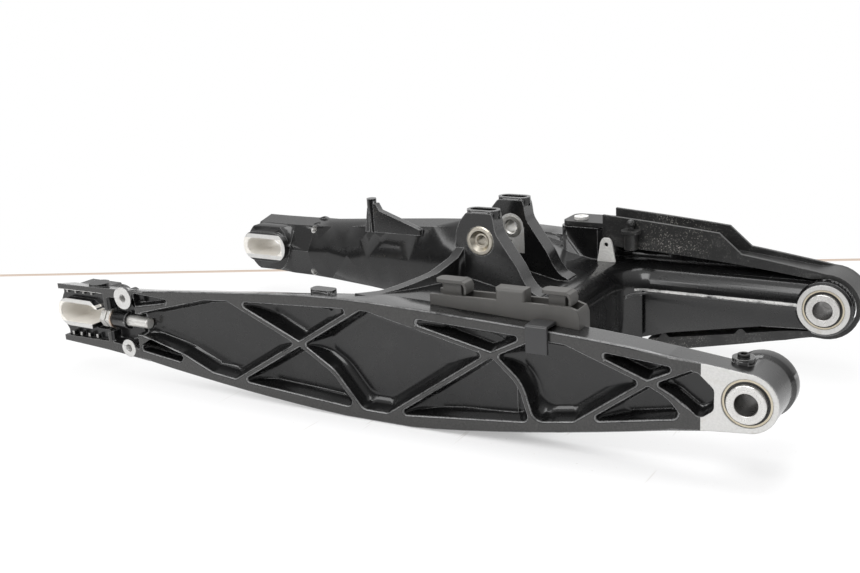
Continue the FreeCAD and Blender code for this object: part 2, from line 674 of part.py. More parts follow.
def tail_disc():
    """Round seat on the top of the right arm near the axle."""
    x = -(arm_length - 20)
    return Part.makeCylinder(9.2, 8, Vector(x, -outer_face(x) + 12, tail_top - 6.8), Vector(0, 0, 1))


def rest_pad():
    """Low rounded lug on the inner edge of the right top face."""
    x = -338.0 * stretch
    y = -outer_face(x) + top_band - 3
    pad = box(x - 11, x + 11, y - 4, y + 6, crest(x) - 14, crest(x) + 1.0)
    corners = [e for e in pad.Edges if abs(e.Length - 15) < 0.01]
    return pad.makeFillet(3.5, corners)


def far_lug():
    """Three-cornered lug on the top of the left arm, with a bored head."""
    x = -459.0 * stretch
    y = outer_face(x) - 28
    z = crest(x) - 9
    fin = profile_xz([(x - 8, z), (x - 4, z + 25), (x + 1, z + 30), (x + 7, z + 30), (x + 11, z + 23),
                      (x + 59, z + 6), (x + 59, z)], y, y + 7)
    head = Part.makeCylinder(5, 35, Vector(x, y + 3.5, z), Vector(0, 0, 1))
    return fin.fuse(head)


# ---------------------------------------------------------------- pivot bearings
def ring_y(outer, inner, y0, y1):
    return along_y(outer, 0, 0, y0, y1).cut(along_y(inner, 0, 0, y0 - 1, y1 + 1))


pivot_mid = pivot_half_width - boss_width / 2
sleeve_length = boss_width + 2 * sleeve_proud
sleeve_radius = sleeve_diameter / 2


def bearing():
    """Needle bearing, pressed into the boss; cup, cage and needles as one closed ring."""
    y0 = pivot_mid - bearing_length / 2
    return ring_y(bearing_bore / 2, sleeve_radius + needle_play, y0, y0 + bearing_length)


def sleeve():
    """Inner sleeve, clamped by the swingarm bolt on the motorcycle."""
    y0 = pivot_mid - sleeve_length / 2
    body = ring_y(sleeve_radius, pivot_bolt / 2 + bolt_play, y0, y0 + sleeve_length)
    rims = [e for e in body.Edges if abs(e.Length - 2 * math.pi * (pivot_bolt / 2 + bolt_play)) < 0.1]
    return body.makeChamfer(0.6, rims)


def collars():
    """Thrust collars pressed on both ends of the sleeve."""
    y0 = pivot_mid - sleeve_length / 2
    y1 = pivot_mid + sleeve_length / 2
    shapes = []
    for a, b in ((y0, y0 + collar_length), (y1 - collar_length, y1)):
        shape = ring_y(collar_diameter / 2, sleeve_radius, a, b)
        rims = [e for e in shape.Edges if abs(e.Length - math.pi * collar_diameter) < 0.1]
        shapes.append(shape.makeChamfer(0.5, rims))
    return shapes


def seals():
    """Lip seals in the counterbores of the boss."""
    shapes = []
    y0 = pivot_half_width - boss_width
    for a, b in ((y0 + 0.5, y0 + seal_length + 0.5), (pivot_half_width - seal_length - 0.5, pivot_half_width - 0.5)):
        shapes.append(ring_y(seal_diameter / 2, collar_diameter / 2 + seal_gap, a, b))
    return shapes


# ---------------------------------------------------------------- adjusters
def adjuster_bolt():
    """Hexagon bolt from the slot through nut, washer and boss to its bright free end."""
    head = hex_bar(nut_across, head_x, head_x + head_height, adj_y, adj_z)
    shank = rod(adjuster_thread / 2, adjuster_length, Vector(head_x + head_height - 1, adj_y, adj_z), Vector(1, 0, 0))
    tip = [e for e in shank.Edges if abs(e.CenterOfMass.x - (head_x + head_height - 1 + adjuster_length)) < 0.01]
    return head.fuse(shank.makeChamfer(1.0, tip))


head_x = adj_x - washer_thickness - nut_height - head_height - 1.5


def adjuster_nut():
    x1 = adj_x - washer_thickness
    nut = hex_bar(nut_across, x1 - nut_height, x1, adj_y, adj_z)
    return nut.cut(rod(adjuster_thread / 2, 40, Vector(x1 - 20, adj_y, adj_z), Vector(1, 0, 0)))


def adjuster_washer():
    disc = rod(washer_diameter / 2, washer_thickness, Vector(adj_x - washer_thickness, adj_y, adj_z), Vector(1, 0, 0))
    return disc.cut(rod(adjuster_thread / 2 + 0.3, 20, Vector(adj_x - 10, adj_y, adj_z), Vector(1, 0, 0)))


# ---------------------------------------------------------------- shock absorber bushes
def shock_bush():
    """Flanged threaded bush in the right ear."""
    x, z = -shock_back, shock_height
    y0 = -(ear_gap / 2 + ear_thickness) - 1.0
    y1 = -ear_gap / 2
    body = along_y(shock_bush_diameter / 2, x, z, y0, y1)
    cone = Part.makeCone(shock_bush_diameter / 2 - 3.5, shock_bolt / 2 + 1.5, 3.5, Vector(x, y0, z), Vector(0, 1, 0))
    body = body.cut(cone)
    step = [e for e in body.Edges if abs(e.Length - math.pi * shock_bush_diameter) < 0.1
            and abs(e.CenterOfMass.y - y0) < 0.01]
    body = body.makeChamfer(1.0, step)
    return body.cut(along_y(shock_bolt / 2, x, z, y0 - 1, y1 + 1))


def shock_eye():
    """Plain bush in the left ear."""
    x, z = -shock_back, shock_height
    y0, y1 = ear_gap / 2 - 0.5, ear_gap / 2 + ear_thickness
    body = along_y(shock_eye_diameter / 2, x, z, y0, y1)
    body = body.cut(along_y(shock_bolt / 2 + 0.9, x, z, y0 - 1, y1 + 1))
    mouth = [e for e in body.Edges if abs(e.Length - math.pi * (shock_bolt + 1.8)) < 0.1
             and abs(e.CenterOfMass.y - y0) < 0.01]
    return body.makeChamfer(1.2, mouth)


# ---------------------------------------------------------------- chain slider
slider_y1 = pivot_half_width - slider_inset
slider_y0 = slider_y1 - slider_width
nose_in = boss_radius + boss_rim + slider_nose_gap
pin_back = slider_rear - 28 * stretch


def slider_line(back, upper):
    """Seat line of the slider above or below the left arm, at its outer edge."""
    x = -back
    if upper:
        return max(crest(x) + slider_seat_gap, math.sqrt(max(nose_in ** 2 - back ** 2, 0)))
    return min(keel(x) - slider_seat_gap, -math.sqrt(max(nose_in ** 2 - back ** 2, 0)))


def slider_profile(rear_up, rear_low, grow_up, grow_low):
    """Closed side profile of a strap round the pivot; the grow functions give its height."""
    n = 16
    upper_in = [(-rear_up * (1 - i / n), slider_line(rear_up * (1 - i / n), True)) for i in range(n)]
    lower_in = [(-rear_low * i / n, slider_line(rear_low * i / n, False)) for i in range(1, n + 1)]
    nose = []
    steps = 18
    for i in range(steps + 1):
        a = math.radians(90 - 180 * i / steps)
        nose.append((nose_in * math.cos(a), nose_in * math.sin(a)))
    inner = upper_in + nose + lower_in
    upper_out = [(x, z + grow_up(-x)) for x, z in upper_in]
    lower_out = [(x, z - grow_low(-x)) for x, z in lower_in]
    g0, g1 = grow_up(0), grow_low(0)
    nose_o = []
    for i in range(steps + 1):
        r = nose_in + g0 + (g1 - g0) * i / steps
        a = math.radians(90 - 180 * i / steps)
        nose_o.append((r * math.cos(a), r * math.sin(a)))
    outer = upper_out + nose_o + lower_out
    return inner + outer[::-1]


def chain_slider():
    """One moulding: a strap round the left pivot with a walled channel for the chain."""
    strap = profile_xz(slider_profile(slider_rear, slider_tail, lambda b: slider_floor, lambda b: slider_floor),
                       slider_y0, slider_y1)

    def wall_up(back):
        foot = slider_ramp - slider_ramp_run
        if back > slider_ramp:
            return slider_tall - 3.0 * (slider_rear - back) / (slider_rear - slider_ramp)
        return interpolate([(0, slider_floor + 0.1), (12, slider_low - 2), (foot, slider_low),
                            (slider_ramp, slider_tall - 3.0)], back)

    def wall_low(back):
        return interpolate([(0, slider_floor + 0.1), (30, slider_low - 1), (slider_tail, slider_low + 3)], back)

    outline = slider_wall_profile(wall_up, wall_low)
    walls = [profile_xz(outline, slider_y0, slider_y0 + slider_wall),
             profile_xz(outline, slider_y1 - slider_wall, slider_y1)]
    # gussets under the lower run and socket for the pin
    body = strap.multiFuse(walls)
    y = slider_y0 - 4.8
    z = slider_line(pin_back, True)
    socket = Part.makeCylinder(5.8, 17, Vector(-pin_back, y, z + 0.5))
    cup = Part.makeCylinder(8.5, 3, Vector(-pin_back, y, z + 14.5))
    flat = box(-pin_back - 16, -pin_back + 16, slider_y0 - 20, slider_y0 - 11, 0, 90)
    body = body.multiFuse([socket, cup.cut(flat)])
    body = body.cut(Part.makeCylinder(2.6, 16, Vector(-pin_back, y, z + 3)))
    # small gussets on the lower run, inside the channel
    for back in (0.9 * slider_tail, 0.45 * slider_tail):
        x, z = -back, slider_line(back, False) - 1
        gusset = profile_xz([(x - 6, z), (x + 6, z), (x + 1, z + 5), (x - 2, z + 5)], slider_y0, slider_y0 + 11)
        body = body.fuse(gusset)
    # rear foot, screwed on the tower of the casting
    foot = box(tower_x - 18, -slider_rear + 1, slider_y0 + 1, slider_y1, tower_top + slider_seat_gap,
               tower_top + slider_seat_gap + 4)
    corners = [e for e in foot.Edges if abs(e.Length - 4) < 0.01 and e.CenterOfMass.x < tower_x]
    body = body.fuse(foot.makeFillet(7.0, corners))
    body = body.cut(Part.makeCylinder(3.2, 40, Vector(tower_x - 4, tower_y, tower_top - 10)))
    return body


def slider_wall_profile(wall_up, wall_low):
    n = 16
    ups = sorted({slider_rear, slider_ramp, slider_ramp - slider_ramp_run, 12.0}
                 | {slider_rear * i / n for i in range(1, n + 1)}, reverse=True)
    lows = sorted({30.0, slider_tail} | {slider_tail * i / n for i in range(1, n + 1)})
    steps = 18
    arc = [math.radians(90 - 180 * i / steps) for i in range(steps + 1)]
    inner = [(-b, slider_line(b, True)) for b in ups]
    inner += [(nose_in * math.cos(a), nose_in * math.sin(a)) for a in arc]
    inner += [(-b, slider_line(b, False)) for b in lows]
    outer = [(-b, slider_line(b, True) + wall_up(b)) for b in ups]
    r0, r1 = nose_in + wall_up(0), nose_in + wall_low(0)
    outer += [((r0 + (r1 - r0) * i / steps) * math.cos(a), (r0 + (r1 - r0) * i / steps) * math.sin(a))
              for i, a in enumerate(arc)]
    outer += [(-b, slider_line(b, False) - wall_low(b)) for b in lows]
    return inner + outer[::-1]


def slider_pin():
    """Ball-headed push pin in the socket of the slider."""
    z = slider_line(pin_back, True) + 3
    stem = Part.makeCylinder(2.5, 19, Vector(-pin_back, slider_y0 - 4.8, z))
    ball = Part.makeSphere(3.6, Vector(-pin_back, slider_y0 - 4.8, z + 20.5))
    return stem.fuse(ball)


def slider_screw():
    """Flat-headed screw through the rear foot into the tower."""
    z = tower_top + slider_seat_gap + 4
    head = Part.makeCylinder(6.5, 2.6, Vector(tower_x - 4, tower_y, z))
    shank = Part.makeCylinder(3.0, 20, Vector(tower_x - 4, tower_y, z - 20))
    socket = hex_z(4.0, tower_x - 4, tower_y, z + 0.8, z + 5)
    return head.fuse(shank).cut(socket)


def hex_z(across, x, y, z0, z1):
    r = across / math.sqrt(3)
    points = [Vector(x + r * math.cos(math.radians(60 * i)), y + r * math.sin(math.radians(60 * i)), z0)
              for i in range(6)]
    return Part.Face(Part.makePolygon(points + points[:1])).extrude(Vector(0, 0, z1 - z0))


def slider_tab():
    """Bright steel tab with a rounded, bored head, standing beside the slider."""
    x, y = -(slider_rear - 5 * stretch), slider_y0 - 5.0
    z0 = bridge_top + 0.0
    points = [(x - 8.5, z0), (x + 8.5, z0), (x + 5.5, z0 + 17), (x + 3.5, z0 + 21.5), (x - 3.5, z0 + 21.5),
              (x - 5.5, z0 + 17)]
    plate = Part.Face(rounded(points, [0.5, 0.5, 6, 5, 5, 6], y)).extrude(Vector(0, 2.0, 0))
    return plate.cut(along_y(2.0, x, z0 + 15.5, y - 1, y + 4))


# ---------------------------------------------------------------- hose guide and clip
def guide_y(x):
    return -(outer_face(x) - guide_face_inset)


def hose_guide(arm_shape):
    """Open channel on the inner edge of the right arm, with a stop block and two hooks."""
    middle = -(guide_rear + guide_front) / 2
    y0 = guide_y(middle)
    y1 = y0 + guide_width
    x0, x1 = -guide_rear, -guide_front
    top = crest(middle) + guide_height - 2
    low = crest(x1) - 6
    body = profile_xz([(x0, low + 6), (x0, top), (x1 - 8, top + 1.5), (x1 - 2, top - 0.5), (x1, top - 5),
                       (x1, low), (x1 - 25, low)], y0, y1)
    hollow = box(x0 - 1, x1 - guide_wall, y0 + guide_wall, y1 - guide_wall, top - guide_height + 5, top + 20)
    body = body.cut(hollow)
    # stop block with a rolled front edge
    block = box(middle - 5.5, middle + 18.5, y0, y0 + guide_width * 0.6, top - 6, top + 10)
    front = [e for e in block.Edges if abs(e.CenterOfMass.y - y0) < 0.01
             and (abs(e.CenterOfMass.z - top - 10) < 0.01 or abs(e.Length - 16) < 0.01)]
    body = body.fuse(block.makeFillet(3.0, front))
    hooks = []
    for a, b in ((x0 + 3, x0 + 26), (x1 - 31, x1 - 11)):
        hooks.append(box(a + 5, b - 2, y0 + 6, y0 + 14, top - guide_height + 3, top + 9))
        plate = box(a, b, y0 + 3, y0 + 15, top + 8.5, top + 11)
        rear = [e for e in plate.Edges if abs(e.Length - 2.5) < 0.01 and e.CenterOfMass.x < a + 0.01]
        hooks.append(plate.makeFillet(4.0, rear))
        lip = profile_xz([(b - 0.5, top + 11), (b + 2.5, top + 9.5), (b + 4, top + 6), (b + 3.5, top + 1),
                          (b + 1.5, top + 1), (b + 1.8, top + 5.5), (b + 0.8, top + 7.8), (b - 0.5, top + 8.5)],
                         y0 + 3, y0 + 15)
        hooks.append(lip)
    body = body.multiFuse(hooks)
    return body.cut(arm_shape)


def edge_clip():
    """Strip that grips the top flange of the right arm over its outer edge."""
    x = -clip_back
    t = clip_thickness
    z = max(crest(x - clip_width / 2), crest(x + clip_width / 2))
    face = -outer_face(x - clip_width / 2)
    gap = 0.35
    hook = flange_top + 2.5
    inner = guide_y(-(guide_rear + guide_front) / 2) - 0.4
    points = [(inner, z + gap), (face - gap, z + gap), (face - gap, z - clip_drop),
              (face - gap - t, z - clip_drop), (face - gap - t, z + gap + t), (inner, z + gap + t)]
    strip = profile_yz(points, x - clip_width / 2, x + clip_width / 2)
    outer = [e for e in strip.Edges if abs(e.CenterOfMass.y - (face - gap - t)) < 0.01
             and abs(e.CenterOfMass.z - (z + gap + t)) < 0.01]
    strip = strip.makeFillet(2.0, outer)
    lip = box(x - clip_width / 2 + 3, x + clip_width / 2 - 3, face - gap - t, face + 6, z - hook - t, z - hook)
    return strip.fuse(lip)


def pivot_plug():
    """Socket-headed plug in the threaded boss above the right pivot."""
    body = Part.makeCylinder(4.0, 9, Vector(plug_x, plug_y, 18))
    return body.cut(hex_z(4.2, plug_x, plug_y, 23, 30))


# ---------------------------------------------------------------- build and export
cast = casting()
nodes = {
    "swingarm_casting": cast,
    "right_pivot_bearing": mirror(bearing()),
    "left_pivot_bearing": bearing(),
    "right_pivot_sleeve": mirror(sleeve()),
    "left_pivot_sleeve": sleeve(),
    "right_pivot_collars": Part.makeCompound([mirror(s) for s in collars()]),
    "left_pivot_collars": Part.makeCompound(collars()),
    "right_pivot_seals": Part.makeCompound([mirror(s) for s in seals()]),
    "left_pivot_seals": Part.makeCompound(seals()),
    "right_adjuster_bolt": mirror(adjuster_bolt()),
    "left_adjuster_bolt": adjuster_bolt(),
    "right_adjuster_nut": mirror(adjuster_nut()),
    "left_adjuster_nut": adjuster_nut(),
    "right_adjuster_washer": mirror(adjuster_washer()),
    "left_adjuster_washer": adjuster_washer(),
    "shock_threaded_bush": shock_bush(),
    "shock_plain_bush": shock_eye(),
    "chain_slider": chain_slider(),
    "slider_push_pin": slider_pin(),
    "slider_screw": slider_screw(),
    "slider_tab": slider_tab(),
    "hose_guide": hose_guide(cast),
    "edge_clip": edge_clip(),
    "pivot_plug": pivot_plug(),
}
for name, shape in nodes.items():
    print(name, len(shape.Solids), "solids, valid", shape.isValid(), "volume %.0f" % shape.Volume)
    shape.exportStep("parts/%s.step" % name)
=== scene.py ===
import json
import math

import bpy
from bpy.props import FloatProperty, FloatVectorProperty, PointerProperty
from mathutils import Matrix, Vector

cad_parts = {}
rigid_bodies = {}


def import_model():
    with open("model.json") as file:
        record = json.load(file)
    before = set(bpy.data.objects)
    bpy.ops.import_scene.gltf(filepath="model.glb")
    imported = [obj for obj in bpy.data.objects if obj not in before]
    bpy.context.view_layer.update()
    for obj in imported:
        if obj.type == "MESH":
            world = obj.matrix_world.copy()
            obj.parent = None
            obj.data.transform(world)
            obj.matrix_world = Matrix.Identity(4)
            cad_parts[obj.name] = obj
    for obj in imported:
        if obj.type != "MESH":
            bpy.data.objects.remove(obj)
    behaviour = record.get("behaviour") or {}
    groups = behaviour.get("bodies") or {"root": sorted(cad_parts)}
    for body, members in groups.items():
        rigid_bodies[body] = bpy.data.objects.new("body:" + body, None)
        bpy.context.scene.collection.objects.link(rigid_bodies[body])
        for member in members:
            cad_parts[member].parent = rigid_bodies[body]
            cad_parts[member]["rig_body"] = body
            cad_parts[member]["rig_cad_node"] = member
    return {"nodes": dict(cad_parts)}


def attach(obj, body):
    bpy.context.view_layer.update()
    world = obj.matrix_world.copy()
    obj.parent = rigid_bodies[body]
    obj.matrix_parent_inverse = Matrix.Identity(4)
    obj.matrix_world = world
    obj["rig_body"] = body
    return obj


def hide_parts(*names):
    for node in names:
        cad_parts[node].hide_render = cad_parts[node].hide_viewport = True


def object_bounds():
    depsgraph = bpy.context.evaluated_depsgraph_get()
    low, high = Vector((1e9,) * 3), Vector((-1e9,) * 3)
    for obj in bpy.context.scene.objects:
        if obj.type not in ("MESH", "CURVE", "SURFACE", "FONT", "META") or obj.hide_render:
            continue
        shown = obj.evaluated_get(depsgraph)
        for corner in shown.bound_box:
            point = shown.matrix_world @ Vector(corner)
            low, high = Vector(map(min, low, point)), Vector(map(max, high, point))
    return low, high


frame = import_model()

bl_info = {
    "name": "Lattice swingarm",
    "version": (1, 0, 0),
    "blender": (4, 5, 0),
    "location": "3D Viewport > Sidebar > Swingarm",
    "description": "Finishes a die-cast lattice swingarm and lights it on a pale table",
    "category": "Object",
}

CAD_BOX = [[float(v) for v in corner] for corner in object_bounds()]
HANDS = ("right", "left")

# outputs that are taken by number
OBJECT_COORDINATES = 3
GENERATED_DIRECTION = 0
SHADING_NORMAL = 1
TRUE_NORMAL = 3
DOT_VALUE = 1
IS_CAMERA_RAY = 0
IS_GLOSSY_RAY = 3

# ---------------------------------------------------------------- places on the part, in metres
# The arm is seen from its side as x and z. "side" is the distance from the middle plane.
FACE_SLACK = 0.0005            # a point this near to a plane counts as on it
CHEEK_REAR = -0.0300           # the bare cheek at the pivot reaches back to here
CHEEK_BITE = (-0.0385, 0.001, 0.0150)  # x, z and radius of the round end of the last bay
NOSE_REAR = -0.0050            # ahead of this the pivot boss is square to its axis
BRACKET_BOSSES = ((-0.541, 0.019, 0.0100), (-0.541, -0.027, 0.0080))  # x, z and radius
BRACKET_HOLE = 0.0036          # takes in the walls of the bracket holes
TAIL_FRONT = -0.5450           # behind this the rims stay black
PAD_FRONT, PAD_HALF, PAD_SIDE = -0.5660, 0.0134, 0.1527          # outer pad round the axle slot
INNER_FRONT, INNER_HALF, INNER_SIDE = -0.5600, 0.0138, 0.1079    # inner pad
SLOT_REAR, SLOT_FRONT, SLOT_HALF, SLOT_SIDE = -0.6260, -0.5730, 0.0092, 0.1000
SCALE_MARKS = (0.0145, 0.0215)  # height of the adjuster's scale above and below the slot
EAR = (-0.2440, 0.0665)        # x and z of the shock absorber's bolt
EAR_PAD = 0.0115               # radius of the bare face on the left ear
EAR_STRIP_FRONT, EAR_STRIP_FOOT = -0.2320, 0.0440
EAR_FACE = (0.0190, 0.0200)    # y just around that face
BOSS_RING, BOSS_RING_SIDE = 0.0206, 0.0852   # bare ring on the inner end of the pivot boss
BORE, BORE_SIDE = 0.0170, 0.0830             # bearing bore
SEAL_CASE = (0.0150, 0.0164)   # inner and outer radius of the seal's metal case
SLEEVE_BORE = 0.0079
LATTICE = (-0.5300, -0.0345)   # x where the outer edges of ribs and flanges are rounded
BAY_DEPTH, BAY_SIDE = -0.0030, 0.1020        # what lies deeper is the floor or wall of a bay
LEG_LIP = [(-0.1640, 0.0768, -0.0042), (-0.1600, 0.0808, -0.0032), (-0.1545, 0.0845, -0.0020),
           (-0.1480, 0.0864, -0.0008), (-0.1400, 0.0870, 0.0000), (-0.1000, 0.0870, 0.0004),
           (-0.0600, 0.0870, 0.0008), (-0.0330, 0.0868, 0.0010), (-0.0215, 0.0862, 0.0010)]
LEG_LIP_RADIUS = 0.0013
LIP_PAINTED_HIGHLIGHT = ((-0.1600, -0.0200), (0.0830, 0.0872), (0.0004, 0.0026))     # x, y and z of its top, where a highlight is painted in the machined grey
STEP_END = ((-0.1700, -0.1400), (0.0800, 0.1000), (-0.0600, -0.0040))     # x, y and z, coated to the edge, with no rubbed edges or painted edge highlights
JUST_BELOW = (-0.0010, -0.00015)             # depth of the rounded edges of ribs and flanges, where a highlight line is painted
SCUFFED = (-0.165, -0.140, -0.120, -0.090)   # x over which the slider's scuffs rise and fade

# ---------------------------------------------------------------- colours of dirt and wear, and of painted shade, sheen and highlights
# dirt on the table, also the faint painted shade tint under the part
TABLE_DIRT_AND_SHADE = (0.50, 0.46, 0.41)
# grey of settled dust and specks, also the painted sheen on the flat outer faces
DUST_AND_RIM_SHEEN = (0.30, 0.29, 0.27)
STAIN = (0.40, 0.34, 0.27)
# near white inside the axle slots, a painted highlight
SLOT_PAINTED_HIGHLIGHT = (0.88, 0.84, 0.77)
BORE_SHADE = (0.06, 0.055, 0.05)
SEAL_GRIT = (0.10, 0.08, 0.06)
CHAIN_SPECKS = (0.55, 0.53, 0.48)
GUIDE_RUBBED = (0.11, 0.105, 0.10)

# ---------------------------------------------------------------- stage
TABLE_SPAN = 14.0
TABLE_MIDDLE_X = -0.3
TABLE_GAP = 0.0002             # the table lies this far under the part
AWAY = (-0.3956, 0.9183)       # level direction, x and y, in which the table's edge lies
SEAM = (0.4430, 0.4530)
BEYOND = 0.449
SHADE_CENTRE = (-0.20, -0.17)  # the part's shadow is kept round here
CAMERA_RIGHT = Vector((0.85306, 0.51877, -0.05626))
CAMERA_DOWN = Vector((0.09514, -0.26063, -0.96074))
CAMERA_AHEAD = Vector((-0.51307, 0.81421, -0.27169))


# ---------------------------------------------------------------- sizes and colours
def mm(name, description, default):
    return FloatProperty(name=name, description=description, default=default, unit="LENGTH", precision=5)


def colour(name, description, default):
    return FloatVectorProperty(name=name, description=description, default=default, subtype="COLOR",
                               size=3, min=0.0, max=1.0)


def share(name, description, default):
    return FloatProperty(name=name, description=description, default=default, min=0.0, max=1.0,
                         subtype="FACTOR")


def watts(name, description, default):
    return FloatProperty(name=name, description=description, default=default, min=0.0, unit="POWER")


class CastingFinish(bpy.types.PropertyGroup):
    coat: colour("Powder coat", "Black of the coated casting", (0.007, 0.007, 0.0072))
    gloss: share("Roughness", "Roughness of the powder coat", 0.24)
    edge_round: mm("Edge round", "Radius over which the cast edges look rounded", 0.0014)
    rib_round: mm("Rib round", "Rounding of the edges of the ribs and flanges", 0.0016)
    # grey of the rubbed edges, also used for the painted highlight lines along the edges
    edge_worn: colour("Worn edge", "Grey of the rubbed edges", (0.30, 0.30, 0.30))
    # also the grey of the painted highlight along the top of the leg lip
    machined: colour("Machined face", "Bare aluminium of the machined faces", (0.66, 0.655, 0.64))
    pivot_half: mm("Pivot half width", "Middle plane to the outer face at the pivot", 0.131)
    axle_half: mm("Axle half width", "Middle plane to the outer face at the axle", 0.152)
    arm_length: mm("Arm length", "Pivot axis to the middle of the axle slot", 0.600)

    def lean(self):
        """How much the arm's outer face moves outwards for each metre towards the axle."""
        return (self.axle_half - self.pivot_half) / self.arm_length


class MetalFinish(bpy.types.PropertyGroup):
    sleeve: colour("Sleeve", "Turned steel of the pivot sleeves", (0.70, 0.69, 0.67))
    zinc: colour("Zinc", "Plated adjuster bolts and nuts", (0.72, 0.71, 0.68))
    pale_zinc: colour("Pale zinc", "Plated screw and tab at the slider", (0.92, 0.91, 0.88))
    washer: colour("Washer", "Coppery washers of the adjusters", (0.72, 0.60, 0.50))
    bush: colour("Threaded bush", "Turned bush in the right ear", (0.62, 0.58, 0.50))
    plain_bush: colour("Plain bush", "Bare bush in the left ear", (0.62, 0.61, 0.58))
    plug: colour("Plug", "Black plug above the right pivot", (0.05, 0.05, 0.05))
    brass: colour("Seal case", "Yellowish metal case of the seals", (0.60, 0.54, 0.42))


class PlasticFinish(bpy.types.PropertyGroup):
    slider: colour("Slider", "Worn black of the chain slider", (0.018, 0.018, 0.018))
    scuff: colour("Scuff", "Grey of scuffs on the slider", (0.22, 0.22, 0.215))
    guide: colour("Hose guide", "Dark grey of the hose guide", (0.068, 0.066, 0.062))
    clip: colour("Clip", "Black of the clip", (0.030, 0.030, 0.031))
    seal: colour("Seal", "Black rubber of the lip seals", (0.012, 0.012, 0.012))


class StageLook(bpy.types.PropertyGroup):
    table: colour("Table", "White of the table", (0.93, 0.93, 0.935))
    seam: colour("Table edge", "Faint line at the back of the table", (0.62, 0.47, 0.36))
    key: watts("Key light", "Power of the overhead light", 10.0)
    fill: watts("Front lights", "Power of each light beside the camera", 9.0)
    lens: FloatProperty(name="Focal length", description="Focal length on a 36 mm sensor", default=45.66,
                        subtype="DISTANCE_CAMERA")
    eye: FloatVectorProperty(name="Camera", description="Camera position", default=(0.1779, -0.7850, 0.2734),
                             subtype="TRANSLATION", unit="LENGTH")


# ---------------------------------------------------------------- shader expressions
class Wire:
    """A node socket with arithmetic."""

    def __init__(self, tree, socket):
        self.tree, self.socket = tree, socket

    def _math(self, operation, *values):
        return node(self.tree, "ShaderNodeMath", {"operation": operation}, *values)

    def __add__(self, other):
        return self._math("ADD", self, other)

    __radd__ = __add__

    def __sub__(self, other):
        return self._math("SUBTRACT", self, other)

    def __rsub__(self, other):
        return self._math("SUBTRACT", other, self)

    def __mul__(self, other):
        return self._math("MULTIPLY", self, other)

    __rmul__ = __mul__

    def __pow__(self, other):
        return self._math("POWER", self, other)

    def __lt__(self, other):
        return self._math("LESS_THAN", self, other)

    def __gt__(self, other):
        return self._math("GREATER_THAN", self, other)

    def between(self, low, high):
        return (self > low) * (self < high)

    def size(self):
        return self._math("ABSOLUTE", self)

    def clamp(self):
        return node(self.tree, "ShaderNodeClamp", {}, self, 0.0, 1.0)


def fill(tree, socket, value):
    """Links a wire to a socket, or sets the socket to a number, a colour or a vector."""
    if isinstance(value, Wire):
        tree.links.new(value.socket, socket)
    elif socket.type == "RGBA":
        socket.default_value = (*tuple(value)[:3], 1.0)
    else:
        socket.default_value = value


def node(tree, kind, settings, *values, out=0, **named):
    """Adds a node, sets it, fills its sockets and returns one output."""
    made = tree.nodes.new(kind)
    for key, value in settings.items():
        setattr(made, key, value)
    for key, value in list(enumerate(values)) + list(named.items()):
        fill(tree, made.inputs[key], value)
    return Wire(tree, made.outputs[out])


def split(tree, vector):
    """The three numbers of a vector."""
    parts = tree.nodes.new("ShaderNodeSeparateXYZ")
    tree.links.new(vector.socket, parts.inputs[0])
    return [Wire(tree, output) for output in parts.outputs]


def mix(tree, factor, a, b):
    """Colour mix."""
    made = tree.nodes.new("ShaderNodeMix")
    made.data_type = "RGBA"
    for index, value in ((0, factor), (6, a), (7, b)):
        fill(tree, made.inputs[index], value)
    return Wire(tree, made.outputs[2])


def blend(tree, factor, a, b):
    """Number mix."""
    made = tree.nodes.new("ShaderNodeMix")
    for index, value in ((0, factor), (2, a), (3, b)):
        fill(tree, made.inputs[index], value)
    return Wire(tree, made.outputs[0])


def darker(tint, by):
    return tuple(by * c for c in tint)


